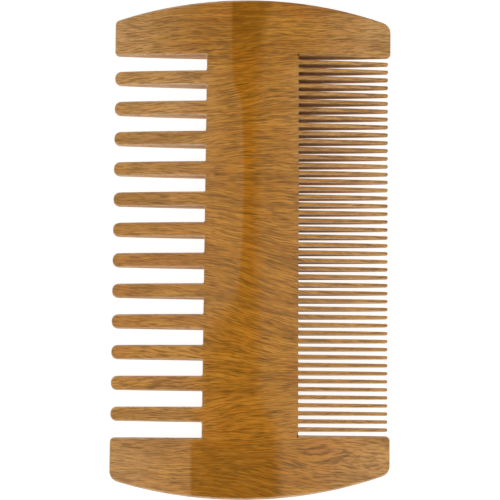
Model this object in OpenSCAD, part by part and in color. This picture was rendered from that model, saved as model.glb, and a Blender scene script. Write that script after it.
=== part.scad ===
// Two-sided wooden pocket comb for beards.
// Wide teeth point to -X, fine teeth to +X, and the comb lies flat on its back face.
// The board is one piece of wood. Each tooth is kept as a solid of its own, and all
// of them meet the body face to face at the bottom of the saw cuts.

/* [Board] */
// Length between the tops of the two end arcs
comb_l = 100; // [95:0.5:110]
// Width across both rows of teeth
comb_w = 55.7; // [55:0.1:56.4]
// Thickness along the middle
comb_t = 5.8; // [5.6:0.1:8]
// Radius of the arc at the top end
top_end_r = 93; // [80:1:130]
// How far left of the middle the top arc is highest
top_end_x = 0.6; // [0:0.1:3]
// Radius of the arc at the bottom end
bottom_end_r = 89; // [80:1:130]
// How far left of the middle the bottom arc is lowest
bottom_end_x = 2.3; // [0:0.1:3]
// Rounding of the sharpest outer corner, at the top on the wide-toothed side
wide_corner_r = 1; // [0.3:0.1:1.5]
// Rounding of the three other outer corners
fine_corner_r = 2.2; // [0.3:0.1:3]
// Rounding of the corners where the guards meet the tooth gaps
inner_corner_r = 0.9; // [0.3:0.1:1.5]

// How much the spine widens on each side for every millimetre towards the bottom
spine_lean = 0.004; // [0:0.001:0.006]

/* [Faces] */
// Width of the flat strip along the middle of each face
land_w = 3.4; // [2:0.2:8]
// Distance from the middle to where the gentle shoulder turns into the flank
shoulder_x = 10; // [9.8:0.1:12]
// Radius of the gentle shoulder
shoulder_r = 190; // [190:5:300]
// Radius of the flank, from the shoulder to the tooth tips
flank_r = 150; // [140:5:220]
// Change of slope, in degrees, where the sanded flats meet
facet_turn = 0.5; // [0.3:0.1:0.6]

/* [Wide teeth] */
// Number of wide teeth
wide_teeth = 12; // [8:1:12]
// Distance from the middle of the comb to the bottom of the wide gaps, halfway along
wide_root_x = 9.37; // [8:0.01:9.6]
// Distance from the middle of the comb to the tips of the wide teeth
wide_tip_x = 27.8; // [26:0.1:27.8]
// Spacing of the wide teeth
wide_pitch = 6.13; // [5:0.01:6.2]
// Width of a wide tooth at its root
wide_root_w = 3.04; // [2.5:0.02:3.4]
// Width of a wide tooth just before its rounded tip
wide_tip_w = 2.86; // [2.4:0.02:3.4]
// Rounding of each corner of a wide tooth's tip
wide_tip_r = 1.25; // [0.5:0.05:1.4]
// Middle of the first wide tooth, counted from the middle of the comb
wide_first_y = 34.16; // [33:0.02:35]

/* [Fine teeth] */
// Number of fine teeth
fine_teeth = 47; // [30:1:47]
// Distance from the middle of the comb to the bottom of the fine gaps, halfway along
fine_root_x = 9.4; // [8:0.02:9.6]
// Distance from the middle of the comb to the tips of the fine teeth
fine_tip_x = 27.35; // [25:0.05:27.6]
// Spacing of the fine teeth
fine_pitch = 1.6; // [1.4:0.01:1.61]
// Width of a fine tooth at its root
fine_root_w = 0.88; // [0.7:0.02:1]
// Width of a fine tooth just before its rounded tip
fine_tip_w = 0.7; // [0.6:0.02:0.9]
// Rounding of each corner of a fine tooth's tip
fine_tip_r = 0.3; // [0.1:0.02:0.3]
// Middle of the first fine tooth, counted from the middle of the comb
fine_first_y = 37.51; // [36.5:0.01:37.6]

/* [Guards] */
// Distance from the middle of the comb to the inner edge of the top guard
top_guard_y = 38.75; // [38.5:0.05:40]
// The same for the bottom guard, beside the wide teeth
bottom_guard_wide_y = 37.94; // [37.5:0.02:40]
// The same for the bottom guard, beside the fine teeth
bottom_guard_fine_y = 37.3; // [37.2:0.02:40]

/* [Hidden] */
$fn = 64;
half_t = comb_t / 2;
land_x = land_w / 2;
reach = comb_w / 2 + 5;
wood_light = [0.72, 0.52, 0.28];
wood_mid = [0.68, 0.46, 0.22];
wood_deep = [0.62, 0.40, 0.15];

// The shoulder arc leaves the flat strip at a slope of facet_turn.
shoulder_cx = land_x - shoulder_r * sin(facet_turn);
shoulder_cy = half_t - shoulder_r * cos(facet_turn);
shoulder_turn = asin((shoulder_x - shoulder_cx) / shoulder_r);

// The flank arc starts where the shoulder ends, steeper by facet_turn.
flank_turn = shoulder_turn + facet_turn;
flank_cx = shoulder_x - flank_r * sin(flank_turn);
flank_cy = shoulder_cy + shoulder_r * cos(shoulder_turn) - flank_r * cos(flank_turn);

outer_x = comb_w / 2;

// The bottom of the gaps on one side, at height y.
function root_at(root_x, y) = root_x - spine_lean * y;

function two_digits(i) = str(i < 10 ? "0" : "", i);
function wide_name(i) = str("wide_tooth_", two_digits(i));
function fine_name(i) = str("fine_tooth_", two_digits(i));

// One band of the cross-section on one side (-1 or 1), from x0 to x1 out from the middle.
// Its faces are a matching pair of arcs of radius r, centred cx out and cy below and above.
module section_band(side, x0, x1, cx, cy, r) {
    intersection() {
        translate([side > 0 ? x0 : -x1, -half_t])
            square([x1 - x0, comb_t]);
        translate([side * cx, cy])
            circle(r, $fn = 360);
        translate([side * cx, -cy])
            circle(r, $fn = 360);
    }
}

// Cross-section of the whole board, X across and Y through its thickness.
module section() {
    translate([-land_x, -half_t])
        square([land_w, comb_t]);
    for (side = [-1, 1]) {
        section_band(side, land_x, shoulder_x, shoulder_cx, shoulder_cy, shoulder_r);
        section_band(side, shoulder_x, reach, flank_cx, flank_cy, flank_r);
    }
}

// The section drawn out along Y from y0 to y1, standing on z = 0.
module board(y0, y1) {
    translate([0, y1, half_t])
        rotate([90, 0, 0])
            linear_extrude(y1 - y0)
                section();
}

// Rectangle from the middle line out to x = w on one side, between y0 and y1.
module half_box(side, w, y0, y1) {
    translate([side > 0 ? 0 : -w, y0])
        square([w, y1 - y0]);
}

// Outline of one half of the top end: inner_y is the edge beside the teeth, the end arc has
// radius end_r about x = end_x, and corner_r rounds the corner where it meets the straight side.
module guard_half(side, inner_y, corner_r, end_x, end_r) {
    end_cy = comb_l / 2 - end_r;
    corner_cx = outer_x - corner_r;
    from_end = corner_cx - side * end_x;
    corner_cy = end_cy + sqrt(pow(end_r - corner_r, 2) - pow(from_end, 2));
    touch_x = side * end_x + from_end * end_r / (end_r - corner_r);
    intersection() {
        half_box(side, touch_x, inner_y, comb_l / 2 + 1);
        translate([end_x, end_cy])
            circle(end_r, $fn = 360);
    }
    half_box(side, outer_x, inner_y + inner_corner_r, corner_cy);
    half_box(side, outer_x - inner_corner_r, inner_y, corner_cy);
    translate([side * corner_cx, corner_cy])
        circle(corner_r);
    translate([side * (outer_x - inner_corner_r), inner_y + inner_corner_r])
        circle(inner_corner_r);
}

// Outline of the spine and both guards. The bottom end is the top end turned round.
module body_outline() {
    spine_top = top_guard_y + 1;
    spine_bottom = -bottom_guard_wide_y - 1;
    polygon([
        [-root_at(wide_root_x, spine_top), spine_top],
        [-root_at(wide_root_x, spine_bottom), spine_bottom],
        [root_at(fine_root_x, spine_bottom), spine_bottom],
        [root_at(fine_root_x, spine_top), spine_top]
    ]);
    guard_half(-1, top_guard_y, wide_corner_r, -top_end_x, top_end_r);
    guard_half(1, top_guard_y, fine_corner_r, -top_end_x, top_end_r);
    rotate(180) {
        guard_half(1, bottom_guard_wide_y, fine_corner_r, bottom_end_x, bottom_end_r);
        guard_half(-1, bottom_guard_fine_y, fine_corner_r, bottom_end_x, bottom_end_r);
    }
}

// Outline of a tooth that points to +X, with its middle at height y: a tapered blade
// whose foot lies on the bottom of the gaps, and an end whose two corners are rounded.
module tooth_outline(y, root_x, tip_x, root_w, tip_w, tip_r) {
    round_x = tip_x - tip_r;
    round_y = tip_w / 2 - tip_r;
    foot_low = y - root_w / 2;
    foot_high = y + root_w / 2;
    polygon([
        [root_at(root_x, foot_low), foot_low],
        [round_x, y - tip_w / 2],
        [round_x, y + tip_w / 2],
        [root_at(root_x, foot_high), foot_high]
    ]);
    translate([round_x, y - round_y])
        square([tip_r, 2 * round_y]);
    for (side = [-1, 1])
        translate([round_x, y + side * round_y])
            circle(tip_r);
}

// Spine and end guards in one solid.
module body() {
    color(wood_mid)
        intersection() {
            board(-comb_l / 2, comb_l / 2);
            linear_extrude(comb_t)
                body_outline();
        }
}

// Wide tooth number i, counted from the top guard.
module wide_tooth(i) {
    y = wide_first_y - (i - 1) * wide_pitch;
    color(wood_light)
        intersection() {
            board(y - wide_root_w, y + wide_root_w);
            mirror([1, 0, 0])
                linear_extrude(comb_t)
                    tooth_outline(y, wide_root_x, wide_tip_x, wide_root_w, wide_tip_w, wide_tip_r);
        }
}

// Fine tooth number i, counted from the top guard.
module fine_tooth(i) {
    y = fine_first_y - (i - 1) * fine_pitch;
    color(wood_deep)
        intersection() {
            board(y - fine_root_w, y + fine_root_w);
            linear_extrude(comb_t)
                tooth_outline(y, fine_root_x, fine_tip_x, fine_root_w, fine_tip_w, fine_tip_r);
        }
}

body();
for (i = [1 : wide_teeth])
    wide_tooth(i);
for (i = [1 : fine_teeth])
    fine_tooth(i);
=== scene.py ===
"""Two-sided wooden beard comb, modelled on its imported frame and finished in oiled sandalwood."""

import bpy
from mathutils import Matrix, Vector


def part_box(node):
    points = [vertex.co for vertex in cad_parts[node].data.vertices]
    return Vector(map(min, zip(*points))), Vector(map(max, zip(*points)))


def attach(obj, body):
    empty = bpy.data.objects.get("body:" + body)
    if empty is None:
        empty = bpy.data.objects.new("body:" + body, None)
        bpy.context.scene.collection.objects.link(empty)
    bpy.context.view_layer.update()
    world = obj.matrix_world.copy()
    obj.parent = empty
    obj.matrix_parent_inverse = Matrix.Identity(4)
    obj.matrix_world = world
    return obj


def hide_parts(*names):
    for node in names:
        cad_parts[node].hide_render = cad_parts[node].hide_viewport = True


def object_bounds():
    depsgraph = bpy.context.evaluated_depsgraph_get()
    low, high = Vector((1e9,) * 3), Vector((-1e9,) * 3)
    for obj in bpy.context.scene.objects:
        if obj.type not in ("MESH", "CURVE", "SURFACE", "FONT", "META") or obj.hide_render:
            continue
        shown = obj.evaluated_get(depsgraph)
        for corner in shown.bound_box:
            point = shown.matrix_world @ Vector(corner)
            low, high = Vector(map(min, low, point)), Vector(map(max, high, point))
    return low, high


bl_info = {
    "name": "Two-sided beard comb",
    "version": (1, 0, 0),
    "blender": (4, 5, 0),
    "location": "3D View > Sidebar > Comb",
    "description": "Saws a two-sided comb out of one board, finishes its wood and sets its stage",
    "category": "Object",
}

import math
import bpy
from bpy.props import FloatProperty, FloatVectorProperty, IntProperty, PointerProperty
from bpy.types import Operator, Panel, PropertyGroup
from mathutils import Vector

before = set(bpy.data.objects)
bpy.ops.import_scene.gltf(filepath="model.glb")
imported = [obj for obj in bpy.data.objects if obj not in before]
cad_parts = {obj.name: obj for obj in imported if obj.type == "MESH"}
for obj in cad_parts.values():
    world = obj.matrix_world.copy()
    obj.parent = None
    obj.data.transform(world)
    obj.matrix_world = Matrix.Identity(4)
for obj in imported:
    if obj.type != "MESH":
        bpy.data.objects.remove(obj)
cad_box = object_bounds()

MM = 0.001
BODY = "root"
WOOD = "sandalwood"

# The side of the comb that each row of teeth is on.
WIDE = -1
FINE = 1

QUARTER = math.pi / 2
MIDDLE_Z = (cad_box[0][2] + cad_box[1][2]) / 2

# How far the outline stays inside the frame's box, so that rounding never carries it out.
HAIR = 0.001 * MM

# Faces round an outer corner and round the corner where a guard meets a tooth gap.
CORNER_STEPS = 8
INNER_STEPS = 6


# ---------------------------------------------------------------- settings

def length(name, description, millimetres):
    """A length that is shown in the scene's units and is given here in millimetres."""
    return FloatProperty(
        name=name, description=description, default=millimetres * MM,
        min=0, max=1, precision=5, unit="LENGTH",
    )


def share(name, description, value):
    """A plain number from 0 to 1."""
    return FloatProperty(name=name, description=description, default=value, min=0, max=1)


def colour(name, description, value):
    """A linear colour."""
    return FloatVectorProperty(
        name=name, description=description, default=value, size=3, min=0, max=1, subtype="COLOR",
    )


def angle(name, description, degrees):
    """An angle, given here in degrees."""
    return FloatProperty(
        name=name, description=description, default=math.radians(degrees), unit="ROTATION",
    )


class CombBoard(PropertyGroup):
    """Sizes of the board that the frame's boxes don't give."""
    top_radius: length("Top arc", "Radius of the arc at the top end", 93)
    top_shift: length("Top arc shift", "How far left of the middle the top arc is highest", 0.6)
    bottom_radius: length("Bottom arc", "Radius of the arc at the bottom end", 89)
    bottom_shift: length("Bottom arc shift", "How far left the bottom arc is lowest", 2.3)
    sharp_corner: length("Sharp corner", "Rounding of the top outer corner on the wide side", 1)
    corner: length("Corner", "Rounding of the three other outer corners", 2.2)
    inner_corner: length("Inner corner", "Rounding where a guard meets the tooth gap", 0.9)
    wide_fillet: length("Wide fillet", "Rounding at the bottom of a wide gap", 0.3)
    fine_fillet: length("Fine fillet", "Rounding at the bottom of a fine gap", 0.18)
    wide_tip: length("Wide tip", "Width of a wide tooth before its rounded tip", 2.86)
    wide_round: length("Wide tip rounding", "Radius of a wide tooth's tip corners", 1.25)
    fine_tip: length("Fine tip", "Width of a fine tooth before its rounded tip", 0.7)
    fine_round: length("Fine tip rounding", "Radius of a fine tooth's tip corners", 0.3)
    rim: length(
        "Rim", "Rounding of the board's rims, half as much again in the middle of its ends", 0.4,
    )
    fine_rim: length("Fine rim", "Rounding of the fine teeth's rims", 0.2)
    end_steps: IntProperty(
        name="End steps", description="Faces along an end arc", default=72, min=12,
    )
    rim_steps: IntProperty(name="Rim steps", description="Faces across a rim", default=4, min=1)


class CombSection(PropertyGroup):
    """How the board thins out from the middle to the tips of its teeth."""
    land: length("Land", "Width of the flat strip along the middle", 3.4)
    shoulder: length("Shoulder", "Where the shoulder turns into the flank", 10)
    shoulder_radius: length("Shoulder radius", "Radius of the gentle shoulder", 190)
    flank_radius: length("Flank radius", "Radius of the flank out to the tips", 150)
    facet: angle("Facet", "Change of slope where two sanded faces meet", 0.5)
    station: length("Station", "Distance between the lines that shape the faces", 1.3)


class CombWood(PropertyGroup):
    """Colours and finish of the wood."""
    # Amber, umber and pale also paint shade into the strip along the middle of the board.
    pale: colour("Pale", "Colour of the pale wood between the fibres", (0.68, 0.290, 0.026))
    honey: colour("Honey", "Main colour of the wood", (0.48, 0.174, 0.007))
    amber: colour("Amber", "Colour of the warm orange patches", (0.50, 0.136, 0.001))
    umber: colour("Umber", "Colour of the dark figure", (0.19, 0.078, 0.003))
    # Painted reflection: the pale colour that stands in for light off the flanks, towards the tips
    # and ends.
    painted_reflection_colour: colour("Bleached", "Colour of the wood towards the tips", (0.72, 0.40, 0.150))
    # Made paler than the raw wood: painted light on the walls, and a painted sheen on the rims.
    sawn: colour("Sawn", "Colour of the raw saw cuts", (0.84, 0.60, 0.40))
    pore: colour("Pore", "Colour of the fine dark pores", (0.085, 0.036, 0.002))
    rough: share("Roughness", "Mean roughness of the sanded face", 0.46)
    coat: share("Coat", "Weight of the oil finish on the flanks", 0.48)
    coat_rough: share("Coat roughness", "Roughness of the oil finish", 0.34)


class CombStage(PropertyGroup):
    """Camera, lights and floor."""
    aim_x: length("Aim across", "How far left of the middle the camera looks", 0)
    aim_y: length("Aim along", "How far below the middle the camera looks", 0.32)
    distance: length("Distance", "From the camera to the middle of the comb", 371.3)
    tilt: angle("Tilt", "How far the camera stands from straight above", 4.77)
    roll: angle("Roll", "Turn of the camera about its own axis", 0.47)
    lens: FloatProperty(
        name="Lens", description="Focal length, in millimetres", default=133.2, min=1,
    )
    key: FloatProperty(
        name="Key", description="Power of each soft box, in watts", default=2.3, min=0,
    )
    fill: FloatProperty(name="Fill", description="Strength of the surroundings", default=0.2, min=0)


# ---------------------------------------------------------------- mesh helpers

def deselect():
    """Leaves nothing selected, so that an operator acts only on what comes next."""
    bpy.ops.object.select_all(action="DESELECT")


def select_only(piece):
    """Makes one piece the only selected and the active one."""
    deselect()
    piece.select_set(True)
    bpy.context.view_layer.objects.active = piece


def edit(piece):
    """Opens one piece in edit mode with nothing selected."""
    select_only(piece)
    bpy.ops.object.mode_set(mode="EDIT")
    bpy.ops.mesh.select_all(action="DESELECT")


def done():
    """Back to object mode."""
    bpy.ops.object.mode_set(mode="OBJECT")


def pick(piece, kind, test):
    """Selects the vertices, edges or faces for which the test holds. The piece is in edit mode."""
    bpy.ops.mesh.select_mode(type=kind)
    bpy.ops.mesh.select_all(action="DESELECT")
    done()
    mesh = piece.data
    chosen = {"VERT": mesh.vertices, "EDGE": mesh.edges, "FACE": mesh.polygons}[kind]
    for item in chosen:
        item.select = test(item)
    bpy.ops.object.mode_set(mode="EDIT")


def cut_at(x):
    """Cuts all of the piece that is in edit mode, straight through at x."""
    bpy.ops.mesh.select_all(action="SELECT")
    bpy.ops.mesh.bisect(plane_co=(x, 0, 0), plane_no=(1, 0, 0), threshold=1e-7)


def apply_modifier(piece, name, kind, **settings):
    """Adds a modifier with its settings and applies it."""
    modifier = piece.modifiers.new(name, kind)
    for key, value in settings.items():
        setattr(modifier, key, value)
    select_only(piece)
    bpy.ops.object.modifier_apply(modifier=modifier.name)


# ---------------------------------------------------------------- what the frame gives

def teeth(kind):
    """One row of teeth from the top down, each as (middle, half width at the root, node)."""
    prefix = "wide_tooth_" if kind == WIDE else "fine_tooth_"
    row = []
    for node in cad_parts:
        if node.startswith(prefix):
            low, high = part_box(node)
            row.append(((low.y + high.y) / 2, (high.y - low.y) / 2, node))
    return sorted(row, reverse=True)


def inner_x(node):
    """Distance from the middle to the inner end of a tooth."""
    low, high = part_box(node)
    return min(abs(low.x), abs(high.x))


def root_line(kind):
    """The line that the gaps of one row end on, as its distance at the middle and its lean."""
    row = teeth(kind)
    (y1, half1, node1), (y2, half2, node2) = row[0], row[-1]
    x1, x2 = inner_x(node1), inner_x(node2)
    y1, y2 = y1 + half1, y2 + half2
    lean = (x1 - x2) / (y1 - y2)
    return x1 - lean * y1, lean


def tip_x(kind):
    """Distance from the middle to the tips of the teeth on one side."""
    low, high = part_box(teeth(kind)[0][2])
    return max(abs(low.x), abs(high.x))


def guard_y(kind, end):
    """Height of a guard's inner edge beside one row of teeth, at the top (1) or the bottom (-1)."""
    beyond = inner_x(teeth(kind)[-1][2]) + MM
    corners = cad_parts["body"].data.vertices
    heights = [v.co.y for v in corners if v.co.x * kind > beyond and v.co.y * end > 0]
    return min(heights, key=abs)


# ---------------------------------------------------------------- the outline

class Wall:
    """A standing wall, drawn along the outline by extruding and spinning its last edge.

    Places are given from the middle of the comb. turn is 1, or -1 to draw them turned half round.
    """

    def __init__(self, x, y0, y1, low, high):
        deselect()
        bpy.ops.mesh.primitive_plane_add(
            size=1, location=(x, (y0 + y1) / 2, (low + high) / 2), rotation=(QUARTER, 0, QUARTER),
        )
        self.piece = bpy.context.object
        self.piece.scale = (y1 - y0, high - low, 1)
        bpy.ops.object.transform_apply(location=True, rotation=True, scale=True)
        edit(self.piece)
        middle = (y0 + y1) / 2
        spots = self.piece.data.vertices
        pick(self.piece, "EDGE", lambda e: all(spots[i].co.y > middle for i in e.vertices))
        self.turn = 1
        self.at = Vector((x, y1))

    def line(self, x, y):
        """Draws a straight stretch to a place."""
        goal = Vector((x, y)) * self.turn
        step = goal - self.at
        bpy.ops.mesh.extrude_region_move(TRANSFORM_OT_translate={"value": (step.x, step.y, 0)})
        self.at = goal

    def arc(self, cx, cy, sweep, steps):
        """Draws an arc about a centre. A positive sweep, in radians, goes round anticlockwise."""
        centre = Vector((cx, cy)) * self.turn
        bpy.ops.mesh.spin(steps=steps, angle=sweep, center=(centre.x, centre.y, 0), axis=(0, 0, -1))
        spoke = self.at - centre
        cos, sin = math.cos(sweep), math.sin(sweep)
        self.at = centre + Vector((spoke.x * cos - spoke.y * sin, spoke.x * sin + spoke.y * cos))


class End:
    """One end of the board, as if it were the top: its arc and its two outer corners."""

    def __init__(self, outer_x, half_length, radius, x, right, left, steps):
        self.middle = Vector((x, half_length - radius))
        self.steps = steps
        self.right = self.corner(outer_x - right, radius - right)
        self.left = self.corner(left - outer_x, radius - left)

    def corner(self, x, reach):
        """Centre of a corner's rounding, which touches the straight side and the end arc."""
        return Vector((x, self.middle.y + math.sqrt(reach ** 2 - (x - self.middle.x) ** 2)))

    def draw(self, wall):
        """Draws the right corner, the arc and the left corner."""
        right, left = self.right - self.middle, self.left - self.middle
        rise_right = math.atan2(right.y, right.x)
        rise_left = math.atan2(left.y, -left.x)
        wall.arc(*self.right, rise_right, CORNER_STEPS)
        wall.arc(*self.middle, math.pi - rise_right - rise_left, self.steps)
        wall.arc(*self.left, rise_left, CORNER_STEPS)


class Row:
    """One row of teeth between two guards, as if it were the left side drawn downwards."""

    def __init__(self, kind, fillet, tip_width, tip_round, steps):
        turn = 1 if kind == WIDE else -1
        self.teeth = [(turn * middle, half) for middle, half, _ in teeth(kind)][::turn]
        self.top, self.bottom = turn * guard_y(kind, turn), turn * guard_y(kind, -turn)
        self.root, lean = root_line(kind)
        self.lean = turn * lean
        self.tip = tip_x(kind)
        self.fillet = fillet
        self.half_tip = tip_width / 2
        self.tip_round = tip_round
        self.steps = steps

    def draw(self, wall, outer_x, inner):
        """Draws the guard's edge, the gaps and teeth, and the other guard's edge."""
        wall.line(-outer_x, self.top + inner)
        wall.arc(-outer_x + inner, self.top + inner, QUARTER, INNER_STEPS)
        wall.line(self.foot(self.top), self.top)
        self.leave(wall, self.top)
        for middle, half in self.teeth:
            round_x = -self.tip + self.tip_round
            round_y = self.half_tip - self.tip_round
            self.arrive(wall, middle + half)
            wall.line(round_x, middle + self.half_tip)
            wall.arc(round_x, middle + round_y, QUARTER, 2 * self.steps)
            wall.line(-self.tip, middle - round_y)
            wall.arc(round_x, middle - round_y, QUARTER, 2 * self.steps)
            wall.line(self.foot(middle - half), middle - half)
            self.leave(wall, middle - half)
        self.arrive(wall, self.bottom)
        wall.line(-outer_x + inner, self.bottom)
        wall.arc(-outer_x + inner, self.bottom - inner, QUARTER, INNER_STEPS)

    def foot(self, y):
        """Where the straight part of a gap's wall at height y ends."""
        return -self.root - self.lean * y - self.fillet

    def leave(self, wall, y):
        """Rounds the corner below a wall at height y, down to the root line."""
        wall.arc(self.foot(y), y - self.fillet, -QUARTER, self.steps)

    def arrive(self, wall, y):
        """Draws the root line down to a wall at height y, and rounds the corner above it."""
        wall.line(self.foot(y) + self.fillet, y + self.fillet)
        wall.arc(self.foot(y), y + self.fillet, -QUARTER, self.steps)


def saw_blank(board):
    """The comb as a flat board of full thickness, with its whole outline sawn."""
    low, high = cad_box
    outer_x, half_length = high[0] - HAIR, high[1] - HAIR
    corner, inner = board.corner, board.inner_corner
    top = End(
        outer_x, half_length, board.top_radius, -board.top_shift,
        corner, board.sharp_corner, board.end_steps,
    )
    bottom = End(
        outer_x, half_length, board.bottom_radius, board.bottom_shift,
        corner, corner, board.end_steps,
    )
    wide = Row(WIDE, board.wide_fillet, board.wide_tip, board.wide_round, steps=3)
    fine = Row(FINE, board.fine_fillet, board.fine_tip, board.fine_round, steps=2)

    wall = Wall(outer_x, guard_y(FINE, 1) + inner, top.right.y, low[2], high[2])
    top.draw(wall)
    wide.draw(wall, outer_x, inner)
    wall.turn = -1
    wall.line(outer_x, bottom.right.y)
    bottom.draw(wall)
    fine.draw(wall, outer_x, inner)

    piece = wall.piece
    bpy.ops.mesh.select_all(action="SELECT")
    bpy.ops.mesh.remove_doubles(threshold=0.01 * MM)
    for side in (1, -1):
        pick(piece, "VERT", lambda v: (v.co.z - MIDDLE_Z) * side > 0)
        bpy.ops.mesh.edge_face_add()
    bpy.ops.mesh.select_all(action="SELECT")
    bpy.ops.mesh.normals_make_consistent(inside=False)
    done()
    return piece


# ---------------------------------------------------------------- rims and section

def round_rims(piece, board):
    """Rounds every rim while the faces are still flat: most in the middle of the end arcs, and
    least on the fine teeth. The extra width is gone before the corners are reached."""
    spots = piece.data.vertices
    swell = 1.5
    crown = 0.86 * cad_box[1][0]
    fine_x = root_line(FINE)[0] - board.rim
    top, bottom = guard_y(FINE, 1) - board.fine_fillet, guard_y(FINE, -1) + board.fine_fillet
    ends = guard_y(WIDE, 1) + 2 * board.inner_corner
    widest = swell * board.rim

    def rim_at(edge):
        a, b = (spots[i].co for i in edge.vertices)
        x, y = (a.x + b.x) / 2, (a.y + b.y) / 2
        if abs(a.z - b.z) > 0.01 * MM:
            return 0.0
        if abs(y) > ends and abs(x) < crown:
            return board.rim * (swell - (swell - 1) * (x / crown) ** 2)
        if min(a.x, b.x) > fine_x and bottom < y < top:
            return board.fine_rim
        return board.rim

    weights = piece.data.attributes.new("bevel_weight_edge", "FLOAT", "EDGE")
    for edge in piece.data.edges:
        weights.data[edge.index].value = rim_at(edge) / widest
    apply_modifier(
        piece, "rims", "BEVEL", width=widest, segments=board.rim_steps,
        limit_method="WEIGHT", use_clamp_overlap=False,
    )


def stations(section, outer_x):
    """Distances from the middle at which the faces change slope."""
    # None between these two, where the gaps end and the teeth are parted.
    before_roots = section.shoulder - 1.4 * MM
    past_roots = section.shoulder + 0.1 * MM
    marks = [section.land / 2] + [part * section.shoulder for part in (0.35, 0.52, 0.7)]
    marks += [before_roots, past_roots]
    last = outer_x - 1.6 * MM
    count = math.ceil((last - past_roots) / section.station)
    marks += [past_roots + (last - past_roots) * i / count for i in range(1, count + 1)]
    return marks + [outer_x]


def drop_at(x, section):
    """How far each face lies below the land, at a distance from the middle."""
    land = section.land / 2
    if x <= land:
        return 0.0
    shoulder_cx = land - section.shoulder_radius * math.sin(section.facet)
    turn = math.asin((section.shoulder - shoulder_cx) / section.shoulder_radius)
    top = section.shoulder_radius * math.cos(section.facet)
    if x <= section.shoulder:
        return top - math.sqrt(section.shoulder_radius ** 2 - (x - shoulder_cx) ** 2)
    slope = turn + section.facet
    flank_cx = section.shoulder - section.flank_radius * math.sin(slope)
    at_shoulder = top - section.shoulder_radius * math.cos(turn)
    rise = section.flank_radius * math.cos(slope)
    return at_shoulder + rise - math.sqrt(section.flank_radius ** 2 - (x - flank_cx) ** 2)


def drop_between(x, marks, drops):
    """The drop at any distance, on straight lines between the stations."""
    if x <= marks[0]:
        return drops[0]
    for i in range(1, len(marks)):
        if x <= marks[i]:
            part = (x - marks[i - 1]) / (marks[i] - marks[i - 1])
            return drops[i - 1] + (drops[i] - drops[i - 1]) * part
    return drops[-1]


def thin_out(piece, section):
    """Cuts the faces along the stations and lowers them to the board's section."""
    marks = stations(section, cad_box[1][0])
    edit(piece)
    for side in (-1, 1):
        for x in marks[:-1]:
            cut_at(side * x)
    done()

    # Both faces are told apart before either moves: at the tips they end up close together.
    drops = [drop_at(x, section) for x in marks]
    deepest = drops[-1]
    faces = (("front", 1), ("back", -1))
    for name, side in faces:
        group = piece.vertex_groups.new(name=name)
        for v in piece.data.vertices:
            if (v.co.z - MIDDLE_Z) * side > 0:
                group.add([v.index], drop_between(abs(v.co.x), marks, drops) / deepest, "REPLACE")
    for name, side in faces:
        apply_modifier(
            piece, name, "DISPLACE", direction="Z", mid_level=0,
            strength=-side * deepest, vertex_group=name,
        )
    piece.vertex_groups.clear()


def part_teeth(piece, board):
    """Parts the teeth from the spine just outside the gap bottoms, and closes every cut."""
    margin = 0.05 * MM
    seams = {
        WIDE: inner_x(teeth(WIDE)[-1][2]) + board.wide_fillet + margin,
        FINE: inner_x(teeth(FINE)[-1][2]) + board.fine_fillet + margin,
    }
    edit(piece)
    for side, x in seams.items():
        cut_at(side * x)

    edges = {side: (guard_y(side, -1), guard_y(side, 1)) for side in seams}

    def beyond_seam(face):
        side = WIDE if face.center.x < 0 else FINE
        low, high = edges[side]
        clear = 0.1 * MM
        return low + clear < face.center.y < high - clear and abs(face.center.x) > seams[side]

    pick(piece, "FACE", beyond_seam)
    bpy.ops.mesh.separate(type="SELECTED")
    done()
    rest = [o for o in bpy.context.selected_objects if o != piece][0]
    for part in (piece, rest):
        edit(part)
        bpy.ops.mesh.select_mode(type="EDGE")
        bpy.ops.mesh.select_non_manifold()
        bpy.ops.mesh.fill_holes(sides=0)
        bpy.ops.mesh.select_all(action="SELECT")
        bpy.ops.mesh.normals_make_consistent(inside=False)
        done()
        select_only(part)
        bpy.ops.object.shade_smooth_by_angle(angle=math.radians(32))
        apply_modifier(part, "shading", "WEIGHTED_NORMAL", keep_sharp=True, weight=50)
    select_only(rest)
    bpy.ops.mesh.separate(type="LOOSE")
    return piece, list(bpy.context.selected_objects)


def middle_y(piece):
    """Height of the middle of a piece's mesh."""
    heights = [v.co.y for v in piece.data.vertices]
    return (min(heights) + max(heights)) / 2


def hand_over(piece, node):
    """Names a piece after the node that it stands for, and gives it its body and wood."""
    piece.name = node + "_wood"
    piece.data.name = piece.name
    piece.data.materials.clear()
    piece.data.materials.append(sandalwood())
    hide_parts(node)
    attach(piece, BODY)


# ---------------------------------------------------------------- shader writing

class Value:
    """A socket that can be reckoned with: an expression on values adds its Math nodes."""

    def __init__(self, sheet, socket):
        self.sheet = sheet
        self.socket = socket

    def maths(self, operation, *others):
        """One Math node on this value and the others."""
        inputs = dict(enumerate((self,) + others))
        return self.sheet.add("ShaderNodeMath", {"operation": operation}, inputs)

    def __add__(self, other):
        return self.maths("ADD", other)

    __radd__ = __add__

    def __mul__(self, other):
        return self.maths("MULTIPLY", other)

    __rmul__ = __mul__

    def __sub__(self, other):
        return self.maths("SUBTRACT", other)

    def __rsub__(self, other):
        return self * -1 + other

    def __truediv__(self, other):
        return self.maths("DIVIDE", other)

    def __abs__(self):
        return self.maths("ABSOLUTE")

    def tanh(self):
        return self.maths("TANH")

    def rise(self, start, end):
        """0 below start, 1 above end, and smooth between. start may lie above end."""
        inputs = {"Value": self, "From Min": start, "From Max": end}
        return self.sheet.add("ShaderNodeMapRange", {"interpolation_type": "SMOOTHSTEP"}, inputs)


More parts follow.
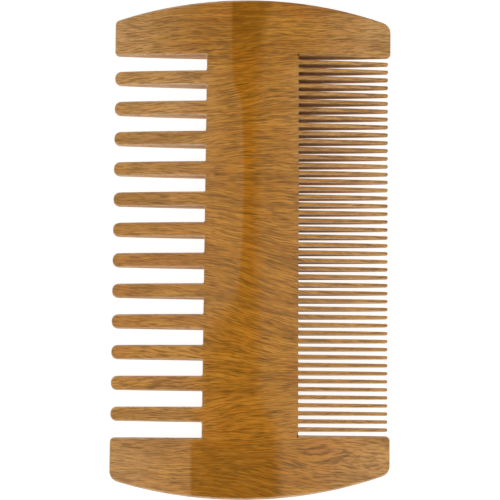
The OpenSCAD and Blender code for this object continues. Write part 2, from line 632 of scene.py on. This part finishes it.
class Sheet:
    """One material's node tree."""

    def __init__(self, name):
        self.material = bpy.data.materials.new(name)
        self.material.use_nodes = True
        self.tree = self.material.node_tree
        self.tree.nodes.clear()

    def add(self, kind, settings, inputs, output=0):
        """Adds a node: its settings are set first, then the values or links of its sockets."""
        node = self.tree.nodes.new(kind)
        for key, value in settings.items():
            if key == "points":
                curve = node.mapping.curves[0].points
                for place in value[1:-1]:
                    curve.new(*place)
                curve[0].location = value[0]
                curve[len(curve) - 1].location = value[-1]
                node.mapping.update()
            else:
                setattr(node, key, value)
        for key, value in inputs.items():
            self.put(node.inputs[key], value)
        return Value(self, node.outputs[output]) if node.outputs else None

    def put(self, socket, value):
        """Links a value to a socket, or sets the socket to a plain one."""
        if isinstance(value, Value):
            self.tree.links.new(value.socket, socket)
        else:
            socket.default_value = value

    def noise(self, vector, scale, detail, roughness=0.5):
        """Noise from 0 to 1 about 0.5."""
        inputs = {"Vector": vector, "Scale": scale, "Detail": detail, "Roughness": roughness}
        return self.add("ShaderNodeTexNoise", {}, inputs)

    def vector(self, x, y, z):
        """A place made of three values."""
        return self.add("ShaderNodeCombineXYZ", {}, {"X": x, "Y": y, "Z": z})

    def mix(self, factor, first, second):
        """Mixes two colours."""
        inputs = {0: factor, 6: first, 7: second}
        return self.add("ShaderNodeMix", {"data_type": "RGBA"}, inputs, 2)

    def curve(self, value, points):
        """A smooth curve through points, given as (place, height) in the order of their places."""
        low, high = points[0][0], points[-1][0]
        heights = [h for _, h in points]
        floor, span = min(heights), max(heights) - min(heights)
        marks = [((p - low) / (high - low), (h - floor) / span) for p, h in points]
        unit = (value - low) / (high - low)
        bent = self.add("ShaderNodeFloatCurve", {"points": marks}, {"Value": unit})
        return bent * span + floor


def rgba(values):
    """A colour as a socket takes it."""
    return tuple(values) + (1.0,)


def sandalwood():
    """The wood of the whole board, made once. Its pattern is drawn in millimetres of the comb."""
    if WOOD in bpy.data.materials:
        return bpy.data.materials[WOOD]
    wood = bpy.context.scene.comb_wood
    sheet = Sheet(WOOD)
    place = sheet.add("ShaderNodeTexCoord", {}, {}, 3)
    split = sheet.add("ShaderNodeSeparateXYZ", {}, {0: place}).socket.node
    x, y, z = (Value(sheet, split.outputs[i]) / MM for i in range(3))

    # The grain runs across the comb and swings up and down along its length. Places along the
    # comb are in millimetres from its middle, here and in the curves below.
    slope = sheet.curve(y, [
        (-50, -0.24), (-44, -0.10), (-38, 0.08), (-31, 0.14), (-25, 0.0), (-18, -0.22),
        (-10, -0.33), (-2, -0.25), (8, -0.10), (18, 0.0), (26, 0.12), (36, 0.13), (46, 0.04),
        (50, 0.02),
    ])
    reach = (x / 14).tanh() * 14
    drift = sheet.noise(sheet.vector(x * 0.5, y, z), 0.13, 1) * 2.6
    across = y - slope * reach + drift
    along = x + across * 0.1

    def grain(lengthwise, crosswise, through, start, detail, roughness=0.6):
        """Noise that is drawn out along the fibres. Larger numbers give shorter, finer figure."""
        spot = sheet.vector(along * lengthwise, across * crosswise, z * through + start)
        return sheet.noise(spot, 1.0, detail, roughness)

    # Long fibres, with two layers of finer dark lines between them.
    fibre = grain(0.05, 1.15, 0.5, 0, 3)
    line = grain(0.24, 4.0, 1.1, 33, 2)
    hair = grain(0.5, 6.5, 1.6, 71, 1)

    # Broad dark ribbons, warm patches, pale flecks, and short pores in loose groups.
    ribbon = grain(0.05, 0.36, 0.3, 7, 2, 0.5)
    patch = sheet.noise(sheet.vector(x * 0.7 + 40, across, z * 0.6), 0.11, 2)
    lights = grain(0.22, 2.2, 1.4, 51, 1).rise(0.55, 0.72)
    dash = grain(0.32, 3.7, 1.4, 19, 1).rise(0.52, 0.68)
    cluster = sheet.noise(sheet.vector(x + 11, across * 1.4, z), 0.22, 1).rise(0.30, 0.55)
    pores = dash * cluster * (1 - abs(x).rise(12, 24) * 0.5)

    # The strip along the middle is painted deeper in colour, darker towards both ends and paler
    # below the middle: painted shade standing in for the dark reflection on its flat land. It has
    # no oil coat, so it shows no pale sheen. Below the middle its left edge is soft.
    guard = abs(y).rise(34, 41)
    left = sheet.curve(y, [
        (-50, -11.5), (-36, -11.5), (-22, -9.5), (-14, -6.0), (-6, -2.3), (28, -2.1),
        (34, -3.9), (50, -4.2),
    ])
    right = sheet.curve(y, [
        (-50, 6.0), (-38, 5.5), (-28, 2.0), (-10, 1.6), (28, 1.1), (40, 1.8), (50, 4.0),
    ])
    soft = y.rise(-6, -14) * (1 - abs(y).rise(34, 40)) * 3.2 + 0.4
    painted_shade_strip = ((x - left) / soft).rise(-1, 1) * (right - x).rise(-1.8, 1.8)
    painted_shade_at_ends = painted_shade_strip * abs(y).rise(36, 43)
    lower = painted_shade_strip * y.rise(-2, -9) * (1 - guard)

    # The walls of the saw cuts and the outline are raw: rough, and without the oil finish. Their
    # sawn colour is made paler than raw wood, as painted light on the walls.
    normal = sheet.add("ShaderNodeNewGeometry", {}, {}, 1)
    turned = sheet.add("ShaderNodeSeparateXYZ", {}, {0: normal}).socket.node
    sideways, facing = (Value(sheet, turned.outputs[i]) for i in (1, 2))
    # The rounded rims take part of the sawn colour: a pale line that is partly the raw sanded edge
    # and partly a painted sheen.
    face = abs(facing).rise(0.4, 0.98) * (1 - abs(sideways).rise(0.12, 0.5) * 0.8)
    # Painted shade: on the fine side in the upper half, the walls take less of the pale sawn
    # colour, so the narrow gaps look darker.
    painted_wall_light = 1 - x.rise(-4, 4) * y.rise(8, 32)
    wall = 1 - face
    raw = wall * (painted_wall_light * 0.55 + 0.2) * (fibre.rise(0.34, 0.66) * 0.4 + 0.7)

    # A saw leaves fine lines along the cut, and the cut ends of the fibres show as specks.
    kerf = sheet.noise(sheet.vector(x * 0.35, y * 0.35, z * 4.5 + 5), 1.0, 2, 0.6).rise(0.46, 0.68)
    speck = sheet.noise(sheet.vector(x * 1.3, y * 1.9, z * 2.4 + 61), 1.0, 1, 0.6).rise(0.52, 0.68)
    scored = wall * (kerf * 0.22 + speck * 0.28)

    # Away from the middle the wood is painted paler, most of all near both ends: a painted
    # reflection of the light off the sloping flanks and teeth.
    spread = (1 - guard) * abs(x).rise(3, 15) + guard * abs(x).rise(7, 29) * 1.25
    out = spread * sheet.curve(y, [
        (-50, 0.80), (-40, 0.72), (-28, 0.45), (-8, 0.30), (5, 0.42), (20, 0.78), (34, 1.05),
        (50, 1.2),
    ])

    tone = sheet.mix(fibre.rise(0.32, 0.68), rgba(wood.honey), rgba(wood.pale))
    tone = sheet.mix(patch.rise(0.50, 0.72) * 0.5, tone, rgba(wood.amber))
    # Painted shade: the strip along the middle is painted deeper in amber, darker in umber near the
    # ends, and paler below the middle.
    tone = sheet.mix(painted_shade_strip * 0.4, tone, rgba(wood.amber))
    tone = sheet.mix(painted_shade_at_ends * 0.34, tone, rgba(wood.umber))
    tone = sheet.mix(out * 0.64, tone, rgba(wood.painted_reflection_colour))
    tone = sheet.mix(lower * 0.22, tone, rgba(wood.pale))
    tone = sheet.mix(ribbon.rise(0.50, 0.74) * 0.35, tone, rgba(wood.umber))
    tone = sheet.mix(line.rise(0.53, 0.36) * 0.62, tone, rgba(wood.umber))
    tone = sheet.mix(hair.rise(0.50, 0.34) * 0.50, tone, rgba(wood.umber))
    tone = sheet.mix(lights * 0.35, tone, rgba(wood.pale))
    tone = sheet.mix(pores * 0.5, tone, rgba(wood.pore))
    tone = sheet.mix(raw, tone, rgba(wood.sawn))
    tone = sheet.mix(scored, tone, rgba(wood.umber))

    # The finish is thinner below the middle, so the wood looks deeper there.
    sheen = 1 - y.rise(-10, -22) * (1 - guard) * 0.35
    height = fibre * 0.4 + line * 0.4 + hair * 0.3 - pores * 0.8 - scored * 1.2
    bump = sheet.add("ShaderNodeBump", {}, {
        "Strength": 0.35, "Distance": 0.05 * MM, "Height": height,
    })
    rough = (fibre - 0.5) * 0.22 + pores * 0.15 + wall * 0.3 + wood.rough
    shader = sheet.add("ShaderNodeBsdfPrincipled", {}, {
        "Base Color": tone,
        "Roughness": rough,
        "Coat Weight": (1 - painted_shade_strip) * face * sheen * wood.coat,
        "Coat Roughness": wood.coat_rough,
        "Specular IOR Level": 0.06,
        "Normal": bump,
    })
    sheet.add("ShaderNodeOutputMaterial", {}, {"Surface": shader})
    return sheet.material


# ---------------------------------------------------------------- operators

class COMB_OT_saw(Operator):
    """Saw the board, shape it and part it into the spine and its teeth"""
    bl_idname = "comb.saw"
    bl_label = "Saw the comb"

    def execute(self, context):
        board, section = context.scene.comb_board, context.scene.comb_section
        blank = saw_blank(board)
        round_rims(blank, board)
        thin_out(blank, section)
        spine, loose = part_teeth(blank, board)
        hand_over(spine, "body")
        rows = {side: teeth(side) for side in (WIDE, FINE)}
        for piece in loose:
            side = WIDE if piece.data.vertices[0].co.x < 0 else FINE
            height = middle_y(piece)
            node = min(rows[side], key=lambda tooth: abs(tooth[0] - height))[2]
            hand_over(piece, node)
        expected = sum(len(row) for row in rows.values())
        if len({p.name for p in loose}) != expected:
            raise RuntimeError(f"the board parted into {len(loose)} teeth, not {expected}")
        return {"FINISHED"}


class COMB_OT_stage(Operator):
    """Lay the floor and set the camera and the lights"""
    bl_idname = "comb.stage"
    bl_label = "Set the stage"

    def execute(self, context):
        stage = context.scene.comb_stage
        aim = Vector((-stage.aim_x, -stage.aim_y, MIDDLE_Z))
        floor_z = cad_box[0][2] - 0.02 * MM

        deselect()
        bpy.ops.mesh.primitive_plane_add(size=6, location=(0, 0, floor_z))
        floor = context.object
        floor.name = "floor"
        sheet = Sheet("white_paper")
        shader = sheet.add("ShaderNodeBsdfPrincipled", {}, {
            "Base Color": (0.3, 0.3, 0.3, 1), "Roughness": 0.9, "Specular IOR Level": 0.0,
            "Emission Color": (1, 1, 1, 1), "Emission Strength": 0.85,
        })
        sheet.add("ShaderNodeOutputMaterial", {}, {"Surface": shader})
        floor.data.materials.append(sheet.material)

        world = context.scene.world or bpy.data.worlds.new("room")
        context.scene.world = world
        world.use_nodes = True
        world.node_tree.nodes["Background"].inputs["Color"].default_value = (1, 1, 1, 1)
        world.node_tree.nodes["Background"].inputs["Strength"].default_value = stage.fill

        # The soft boxes hang over both sides, nearer the comb's bottom end. In metres.
        aside, below, up = 0.34, 0.16, 0.60
        for name, side in (("left_box", -1), ("right_box", 1)):
            bpy.ops.object.light_add(type="AREA", location=(side * aside, -below, up))
            light = context.object
            light.name = name
            light.data.shape = "RECTANGLE"
            light.data.size = 0.50
            light.data.size_y = 0.90
            light.data.energy = stage.key
            light.rotation_euler = (aim - light.location).to_track_quat("-Z", "Y").to_euler()

        bpy.ops.object.camera_add()
        camera = context.object
        camera.name = "camera"
        camera.data.lens = stage.lens
        camera.data.sensor_width = 36
        camera.rotation_euler = (stage.tilt, 0, stage.roll)
        back = Vector((0, -math.sin(stage.tilt), math.cos(stage.tilt)))
        camera.location = aim + back * stage.distance
        camera.data.clip_start = 0.01
        camera.data.dof.use_dof = False
        context.scene.camera = camera
        context.scene.view_settings.view_transform = "Standard"
        return {"FINISHED"}


class COMB_PT_panel(Panel):
    """Lists the steps and the settings in the sidebar"""
    bl_idname = "COMB_PT_panel"
    bl_label = "Two-sided comb"
    bl_space_type = "VIEW_3D"
    bl_region_type = "UI"
    bl_category = "Comb"

    def draw(self, context):
        for operator in (COMB_OT_saw, COMB_OT_stage):
            self.layout.operator(operator.bl_idname)
        for group in ("comb_board", "comb_section", "comb_wood", "comb_stage"):
            settings = getattr(context.scene, group)
            column = self.layout.column(align=True)
            for key in settings.__annotations__:
                column.prop(settings, key)


CLASSES = (
    CombBoard, CombSection, CombWood, CombStage, COMB_OT_saw, COMB_OT_stage, COMB_PT_panel,
)


def register():
    for cls in CLASSES:
        bpy.utils.register_class(cls)
    bpy.types.Scene.comb_board = PointerProperty(type=CombBoard)
    bpy.types.Scene.comb_section = PointerProperty(type=CombSection)
    bpy.types.Scene.comb_wood = PointerProperty(type=CombWood)
    bpy.types.Scene.comb_stage = PointerProperty(type=CombStage)


def unregister():
    del bpy.types.Scene.comb_stage
    del bpy.types.Scene.comb_wood
    del bpy.types.Scene.comb_section
    del bpy.types.Scene.comb_board
    for cls in reversed(CLASSES):
        bpy.utils.unregister_class(cls)


def main():
    register()
    bpy.ops.comb.saw()
    bpy.ops.comb.stage()


if __name__ == "__main__":
    main()
